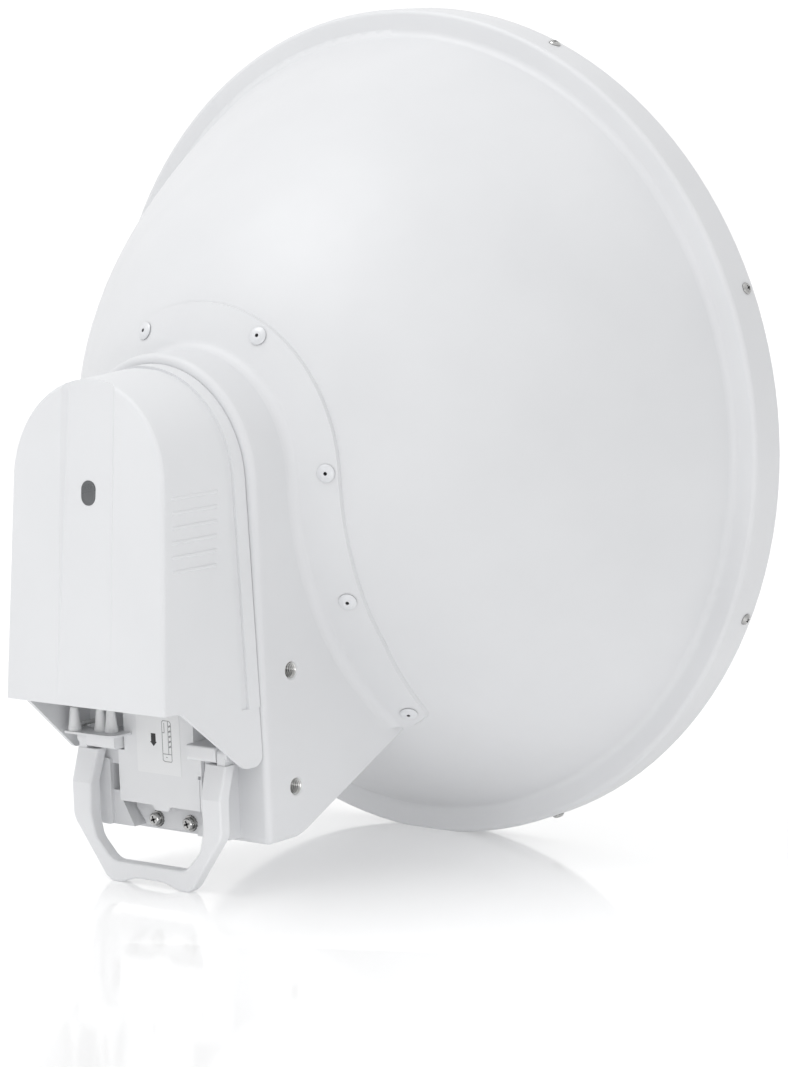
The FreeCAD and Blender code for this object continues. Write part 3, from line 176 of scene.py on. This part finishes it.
powder_coat = surface("powder_coat", COAT_WHITE, (0.36, 0.50), 900, 0.04 * MM)
cast_coat = surface("cast_coat", COAT_WHITE, (0.40, 0.54), 700, 0.05 * MM)
moulded = surface("moulded_white", MOULDED_WHITE, (0.46, 0.60), 2600, 0.03 * MM)
handle_white = surface("handle_white", HANDLE_WHITE, (0.42, 0.56), 2600, 0.03 * MM)
carrier_white = surface("carrier_white", CARRIER_WHITE, (0.46, 0.60), 2600, 0.03 * MM)
radome_white = surface("radome_white", RADOME_WHITE, (0.34, 0.46), 1500, 0.03 * MM)
# rivet_white, steel, dark_steel and thread_steel carry painted shade: their colour darkens in rivet holes,
# driver recesses and thread grooves by ambient occlusion
rivet_white = surface("coated_rivet", RIVET_WHITE, (0.30, 0.42), 1800, 0.01 * MM, metallic=0.1, patch=60,
                      recess_shade=(4 * MM, 0.9))

steel = surface("stainless", STEEL_GREY, (0.22, 0.42), 2200, 0.01 * MM, metallic=1.0, patch=60,
                recess_shade=(3 * MM, 0.85))
dark_steel = surface("dark_steel", DARK_STEEL_GREY, (0.20, 0.38), 2600, 0.01 * MM, metallic=1.0,
                     patch=220, recess_shade=(2.8 * MM, 0.95, 0.30, 0.85))
thread_steel = surface("thread_steel", BRIGHT_STEEL_GREY, (0.18, 0.32), 2600, 0.01 * MM, metallic=1.0,
                       patch=160, recess_shade=(3.5 * MM, 0.985, 0.28, 0.60))
aluminium = surface("bare_aluminium", ALUMINIUM_GREY, (0.30, 0.50), 1400, 0.02 * MM, metallic=1.0,
                    patch=30)
nickel = surface("plated_nickel", NICKEL_GREY, (0.18, 0.34), 1500, 0.01 * MM, metallic=1.0, patch=80)

rubber = surface("seal_rubber", RUBBER_BLACK, (0.65, 0.85), 3000, 0.03 * MM)
jacket = surface("lead_jacket", JACKET_WHITE, (0.40, 0.60), 2400, 0.02 * MM)
dielectric = surface("dielectric", WAXY_WHITE, (0.34, 0.50), 900, 0.03 * MM)
film = surface("label_film", FILM_WHITE, (0.28, 0.38), 1800, 0.01 * MM)
ink_black = surface("ink_black", INK_BLACK, (0.30, 0.42), 1800, 0.01 * MM)
ink_grey = surface("ink_grey", INK_GREY, (0.30, 0.42), 1800, 0.01 * MM)
badge_grey = surface("badge_grey", BADGE_GREY, (0.22, 0.34), 1200, 0.01 * MM, metallic=0.6)
board_green = surface("solder_mask", BOARD_GREEN, (0.25, 0.40), 700, 0.03 * MM)
pad_blue = surface("thermal_pad", PAD_BLUE, (0.6, 0.8), 900, 0.04 * MM)
key_black = surface("key_black", KEY_BLACK, (0.35, 0.5), 2000, 0.02 * MM)
puck = surface("ceramic_puck", CERAMIC_WHITE, (0.45, 0.6), 1100, 0.03 * MM)

silicone = surface("boot_silicone", SILICONE_WHITE, (0.30, 0.45), 1200, 0.03 * MM)
silicone_shader = silicone.node_tree.nodes["Principled BSDF"]
silicone_shader.inputs["Subsurface Weight"].default_value = 0.5
silicone_shader.inputs["Subsurface Radius"].default_value = (1.0, 1.0, 1.0)
silicone_shader.inputs["Subsurface Scale"].default_value = 4 * MM

SLOT_FINISH = {
    "white_powder_coat": powder_coat, "white_cast_aluminium": cast_coat, "white_plastic": moulded,
    "handle_plastic": handle_white, "radome_plastic": radome_white, "seal_rubber": rubber,
    "stainless": steel, "bare_aluminium": aluminium, "radio_plastic": moulded, "dielectric": dielectric,
    "boot_silicone": silicone, "nickel_plate": nickel, "lead_jacket": jacket, "label_film": film,
    "badge_grey": badge_grey, "board": board_green, "thermal_pad": pad_blue, "socket_shell": steel,
    "button_plastic": key_black, "light_pipe": film, "antenna_puck": puck,
}

# Nodes that look different from the rest of their slot
NODE_FINISH = {
    "radio_carrier": carrier_white, "hinge_block_left": carrier_white, "hinge_block_right": carrier_white,
    "housing_rivets": rivet_white, "rim_screws": dark_steel, "ground_screws": dark_steel,
    "toothed_washers": dark_steel, "thread_inserts": thread_steel,
}

for part in frame["record"]["subparts"]:
    mesh = nodes[part["node"]].data
    mesh.materials.clear()
    mesh.materials.append(NODE_FINISH.get(part["node"], SLOT_FINISH[part["material_slot"]]))

# ---------------------------------------------------------------- pieces shaped here


class Shape:
    """Vertices and faces gathered into one mesh."""

    def __init__(self):
        self.points = []
        self.faces = []

    def add(self, points, faces):
        """Add vertices, and faces that count from the first of them."""
        start = len(self.points)
        self.points += points
        self.faces += [tuple(start + index for index in face) for face in faces]

    def piece(self, name, material, smooth=False):
        """An object made of everything that was added."""
        mesh = bpy.data.meshes.new(name)
        mesh.from_pydata(self.points, [], self.faces)
        mesh.validate()
        mesh.update()
        mesh.materials.append(material)
        for face in mesh.polygons:
            face.use_smooth = smooth
        piece = bpy.data.objects.new(name, mesh)
        bpy.context.scene.collection.objects.link(piece)
        return piece


def ring_faces(lower, upper, count):
    """Quads between two rings of vertices, given by their first indices."""
    quads = []
    for i in range(count):
        following = (i + 1) % count
        quads.append((lower + i, lower + following, upper + following, upper + i))
    return quads


# M12 internal thread; THREAD_CREST is half of its crest's flat and THREAD_FLANK is the run of a flank,
# both in shares of half a pitch
THREAD_PITCH = 1.75 * MM
THREAD_MAJOR = 6.0 * MM
THREAD_MINOR = 5.1 * MM
THREAD_CREST = 0.22
THREAD_FLANK = 0.62
THREAD_LEAD_IN = 1.0 * MM
THREAD_ROWS = 14
THREAD_COLUMNS = 56


def thread_radius(turns, from_mouth):
    """Inner radius of the thread, where turns counts pitches along its helix."""
    share = turns % 1.0
    from_crest = 1 - abs(2 * share - 1)
    cut = min(1.0, max(0.0, (from_crest - THREAD_CREST) / THREAD_FLANK))
    radius = THREAD_MINOR + (THREAD_MAJOR - THREAD_MINOR) * cut
    return max(radius, THREAD_MAJOR - from_mouth) if from_mouth < THREAD_LEAD_IN else radius


def on_circle(x, centre, radius, column):
    """A vertex of a ring about the X direction."""
    angle = 2 * math.pi * column / THREAD_COLUMNS
    return Vector((x, centre.y + radius * math.cos(angle), centre.z + radius * math.sin(angle)))


def threaded_sleeve(shape, low, high, outward):
    """A sleeve with an internal thread; low and high are the corners of the plain sleeve it stands for."""
    centre = (low + high) / 2
    outer = (high.z - low.z) / 2
    length = high.x - low.x
    inner_end = low.x if outward > 0 else high.x
    rows = round(length / THREAD_PITCH * THREAD_ROWS)
    points = []
    for row in range(rows + 1):
        along = length * row / rows
        for column in range(THREAD_COLUMNS):
            radius = thread_radius(along / THREAD_PITCH - column / THREAD_COLUMNS, length - along)
            points.append(on_circle(inner_end + along * outward, centre, radius, column))
    for along in (length, 0.0):
        for column in range(THREAD_COLUMNS):
            points.append(on_circle(inner_end + along * outward, centre, outer, column))
    order = [row * THREAD_COLUMNS for row in range(rows + 3)] + [0]
    faces = []
    for lower, upper in zip(order, order[1:]):
        faces += ring_faces(lower, upper, THREAD_COLUMNS)
    if outward > 0:
        faces = [tuple(reversed(face)) for face in faces]
    shape.add(points, faces)


def insert_corners(side, level):
    """Corners of the box round the plain insert on one side of the housing, above or below the origin."""
    points = [vertex.co for vertex in nodes["thread_inserts"].data.vertices
              if vertex.co.x * side > 0 and vertex.co.z * level > 0]
    low = Vector([min(point[axis] for point in points) for axis in range(3)])
    high = Vector([max(point[axis] for point in points) for axis in range(3)])
    return low, high


def make_threads():
    """The four bracket inserts with their real threads."""
    shape = Shape()
    for side in (-1, 1):
        for level in (-1, 1):
            low, high = insert_corners(side, level)
            threaded_sleeve(shape, low, high, side)
    piece = shape.piece("bracket_threads", thread_steel, smooth=True)
    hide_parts("thread_inserts")
    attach(piece, "antenna")


# The badge leans with the cover's rear face. BADGE_RINGS holds each ring's inset and rise in millimetres,
# from the foot of the rim to the middle of the field.
BADGE_LEAN = math.atan(0.09)
BADGE_HALF_HEIGHT = 8.9 * MM
BADGE_HALF_FLAT = 0.35 * MM
BADGE_STEPS = 12
BADGE_RINGS = (
    (0.0, -0.7), (0.0, 0.45), (0.12, 0.62), (0.35, 0.70), (0.85, 0.70), (1.1, 0.60), (1.35, 0.42),
    (2.6, 0.50), (4.2, 0.56), (5.6, 0.58),
)


def stadium(half_width, half_height, corner):
    """A rounded outline across the badge, counted from its right side."""
    points = []
    for turn, (x_sign, z_sign) in enumerate(((1, 1), (-1, 1), (-1, -1), (1, -1))):
        for step in range(BADGE_STEPS + 1):
            angle = math.pi / 2 * (turn + step / BADGE_STEPS)
            points.append((x_sign * (half_width - corner) + corner * math.cos(angle),
                           z_sign * (half_height - corner) + corner * math.sin(angle)))
    return points


def make_badge():
    """A plain oval badge with a rounded raised rim and a shallow crowned field."""
    low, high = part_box("cover_badge")
    half_width = (high.x - low.x) / 2
    points = []
    for inset, rise in BADGE_RINGS:
        inset *= MM
        corner = half_width - inset - BADGE_HALF_FLAT
        for x, z in stadium(half_width - inset, BADGE_HALF_HEIGHT - inset, corner):
            points.append(Vector((x, rise * MM, z)))
    count = 4 * (BADGE_STEPS + 1)
    last = (len(BADGE_RINGS) - 1) * count
    faces = [tuple(reversed(range(count)))]
    for first in range(0, last, count):
        faces += ring_faces(first, first + count, count)
    faces.append(tuple(range(last, last + count)))
    shape = Shape()
    shape.add(points, [tuple(reversed(face)) for face in faces])
    piece = shape.piece("oval_badge", badge_grey, smooth=True)
    piece.matrix_world = Matrix.Translation((low + high) / 2) @ Matrix.Rotation(BADGE_LEAN, 4, "X")
    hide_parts("cover_badge")
    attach(piece, "cover")


# The label's print, in millimetres from the object's middle plane and from the origin's height. Left and
# right are as seen from behind, and the bars lie along the device's right edge, below its top.
PRINT_HEIGHT = 0.05 * MM
LINE_WIDTH = 0.55
BAR_WIDTH = 1.3
ARROW = ((7.0, -4.0), (2.4, -4.0), (2.4, -10.2), (1.4, -10.2), (4.7, -13.6), (8.0, -10.2), (7.0, -10.2))
DEVICE_LEFT = -4.2
DEVICE_RIGHT = -13.0
DEVICE_TOP = 6.4
DEVICE_BOTTOM = -24.0
DOOR_TOP = DEVICE_BOTTOM + 5.6
BAR_DROPS = (3.4, 7.2, 11.0, 14.8, 18.6)


def print_prism(shape, outline, y):
    """A thin raised print mark on the label's face at y."""
    count = len(outline)
    points = [Vector((x * MM, y + rise, z * MM)) for rise in (0, PRINT_HEIGHT) for x, z in outline]
    faces = [tuple(range(count)), tuple(reversed(range(count, 2 * count)))]
    faces += [tuple(reversed(quad)) for quad in ring_faces(0, count, count)]
    shape.add(points, faces)


def print_stroke(shape, ends, width, y):
    """A straight print line between two points."""
    (x0, z0), (x1, z1) = ends
    length = math.hypot(x1 - x0, z1 - z0)
    across = ((z1 - z0) / length * width / 2, -(x1 - x0) / length * width / 2)
    outline = [(x0 + across[0], z0 + across[1]), (x0 - across[0], z0 - across[1]),
               (x1 - across[0], z1 - across[1]), (x1 + across[0], z1 + across[1])]
    print_prism(shape, outline, y)


def device_strokes():
    """Lines of a tall device: its chamfered outline, an inner edge, its door, a window and a latch."""
    left, right, top, bottom = DEVICE_LEFT, DEVICE_RIGHT, DEVICE_TOP, DEVICE_BOTTOM
    outline = [(left, top - 1.2), (left, bottom + 1), (left - 1.5, bottom), (right + 0.8, bottom),
               (right, bottom + 0.8), (right, top - 1.5), (right + 1.6, top), (left - 1.2, top)]
    strokes = list(zip(outline, outline[1:] + outline[:1]))
    strokes.append(((right + 2.9, top - 0.4), (right + 2.9, DOOR_TOP)))
    strokes.append(((left, DOOR_TOP), (right, DOOR_TOP)))
    strokes.append(((left - 2.2, top - 1.6), (left - 2.2, top - 9.0)))
    strokes.append(((left - 2.2, top - 9.0), (left, top - 9.0)))
    strokes.append(((left - 3.0, bottom + 3.2), (left - 4.6, bottom + 3.2)))
    return strokes


def make_label_print():
    """A downward arrow and a plain tall device, in place of the maker's print."""
    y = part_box("label_plate")[1].y
    arrow = Shape()
    print_prism(arrow, ARROW, y)
    piece = arrow.piece("label_arrow", ink_black)
    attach(piece, "antenna")
    device = Shape()
    for ends in device_strokes():
        print_stroke(device, ends, LINE_WIDTH, y)
    for drop in BAR_DROPS:
        z = DEVICE_TOP - drop
        print_stroke(device, ((DEVICE_RIGHT + 0.5, z), (DEVICE_RIGHT + 2.4, z - 1.0)), BAR_WIDTH, y)
    piece = device.piece("label_device", ink_grey)
    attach(piece, "antenna")


make_threads()
make_badge()
make_label_print()

# ---------------------------------------------------------------- studio

CAMERA_TARGET = Vector((0.047, -0.290, 0.1205))
CAMERA_AZIMUTH = math.radians(219.51)
CAMERA_ELEVATION = math.radians(8.08)
CAMERA_DISTANCE = 3.199
CAMERA_ROLL = math.radians(-2.23)
LENS = 135.06
SHIFT_Y = -0.0314
CLIP_END = 60


def add_camera():
    """The camera, placed round its target by azimuth, elevation, distance and roll."""
    back = Vector((math.sin(CAMERA_AZIMUTH) * math.cos(CAMERA_ELEVATION),
                   -math.cos(CAMERA_AZIMUTH) * math.cos(CAMERA_ELEVATION), math.sin(CAMERA_ELEVATION)))
    level = (-back).cross(Vector((0, 0, 1))).normalized()
    rise = level.cross(-back)
    right = level * math.cos(CAMERA_ROLL) + rise * math.sin(CAMERA_ROLL)
    up = rise * math.cos(CAMERA_ROLL) - level * math.sin(CAMERA_ROLL)
    data = bpy.data.cameras.new("photo_camera")
    data.lens = LENS
    data.shift_y = SHIFT_Y
    data.clip_end = CLIP_END
    camera = bpy.data.objects.new("photo_camera", data)
    axes = Matrix((right, up, back)).transposed()
    camera.matrix_world = Matrix.Translation(CAMERA_TARGET + back * CAMERA_DISTANCE) @ axes.to_4x4()
    bpy.context.scene.collection.objects.link(camera)
    bpy.context.scene.camera = camera


FLOOR_HALF = 8.0
FLOOR_GAP = 0.6 * MM
FLOOR_GLOW = 0.19
FLOOR_ROUGHNESS = 0.08
FLOOR_SPECULAR = 0.3
FLOOR_PATCH = 3
FLOOR_WHITE = ((0.83, 0.83, 0.83), (0.85, 0.85, 0.85))


def add_floor():
    """A pale glossy floor that passes under the rim of the dish and under the handle."""
    material, tree, shader = new_material("studio_floor")
    tree.links.new(ramp(tree, noise(tree, FLOOR_PATCH), *FLOOR_WHITE), shader.inputs["Base Color"])
    shader.inputs["Roughness"].default_value = FLOOR_ROUGHNESS
    shader.inputs["Emission Color"].default_value = (1, 1, 1, 1)
    shader.inputs["Emission Strength"].default_value = FLOOR_GLOW
    shader.inputs["Specular IOR Level"].default_value = FLOOR_SPECULAR
    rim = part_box("dish_reflector")[0]
    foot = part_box("handle")
    slope = (foot[0].z - rim.z) / ((foot[0].y + foot[1].y) / 2 - rim.y)
    base = rim.z - FLOOR_GAP
    corners = [(x * FLOOR_HALF, y * FLOOR_HALF, base + (y * FLOOR_HALF - rim.y) * slope)
               for x, y in ((-1, -1), (1, -1), (1, 1), (-1, 1))]
    mesh = bpy.data.meshes.new("floor")
    mesh.from_pydata(corners, [], [(0, 1, 2, 3)])
    mesh.materials.append(material)
    floor = bpy.data.objects.new("floor", mesh)
    bpy.context.scene.collection.objects.link(floor)


def add_light(name, place, target, width, height, power, beam=180):
    """A soft elliptical light at place that faces target; beam is its full angle in degrees."""
    data = bpy.data.lights.new(name, "AREA")
    data.shape = "ELLIPSE"
    data.size = width
    data.size_y = height
    data.spread = math.radians(beam)
    data.energy = power
    light = bpy.data.objects.new(name, data)
    light.location = place
    light.rotation_euler = (Vector(target) - Vector(place)).to_track_quat("-Z", "Y").to_euler()
    bpy.context.scene.collection.objects.link(light)


# The white wall: its direction from the object, and the cosines from that direction where the wall begins
# and where it is full
BACKDROP = (0.63, -0.77, 0.0)
BACKDROP_BEGINS = 0.70
BACKDROP_FULL = 0.93
BACKDROP_STRENGTH = 1.06
ROOM_STRENGTH = 0.89


def add_world():
    """An even pale room whose wall behind the object is white."""
    world = bpy.data.worlds.new("studio")
    world.use_nodes = True
    tree = world.node_tree
    coords = tree.nodes.new("ShaderNodeTexCoord")
    facing = tree.nodes.new("ShaderNodeVectorMath")
    facing.operation = "DOT_PRODUCT"
    facing.inputs[1].default_value = BACKDROP
    tree.links.new(coords.outputs["Generated"], facing.inputs[0])
    level = spread(tree, facing.outputs["Value"], ROOM_STRENGTH, BACKDROP_STRENGTH,
                   BACKDROP_BEGINS, BACKDROP_FULL)
    tree.links.new(level, tree.nodes["Background"].inputs["Strength"])
    tree.nodes["Background"].inputs["Color"].default_value = (1, 1, 1, 1)
    bpy.context.scene.world = world


add_camera()
add_floor()
add_world()
add_light("key", place=(0.7, 0.9, 2.7), target=(0, -0.1, 0.1), width=2.0, height=2.0, power=26)
add_light("fill", place=(-1.4, 1.8, 0.02), target=(0, -0.1, -0.08), width=1.6, height=0.3, power=8.5)
add_light("kicker", place=(-0.30, 0.12, -0.115), target=(-0.06, -0.27, -0.11), width=0.5, height=0.04,
          power=0.08, beam=70)
bpy.context.scene.view_settings.view_transform = "Standard"
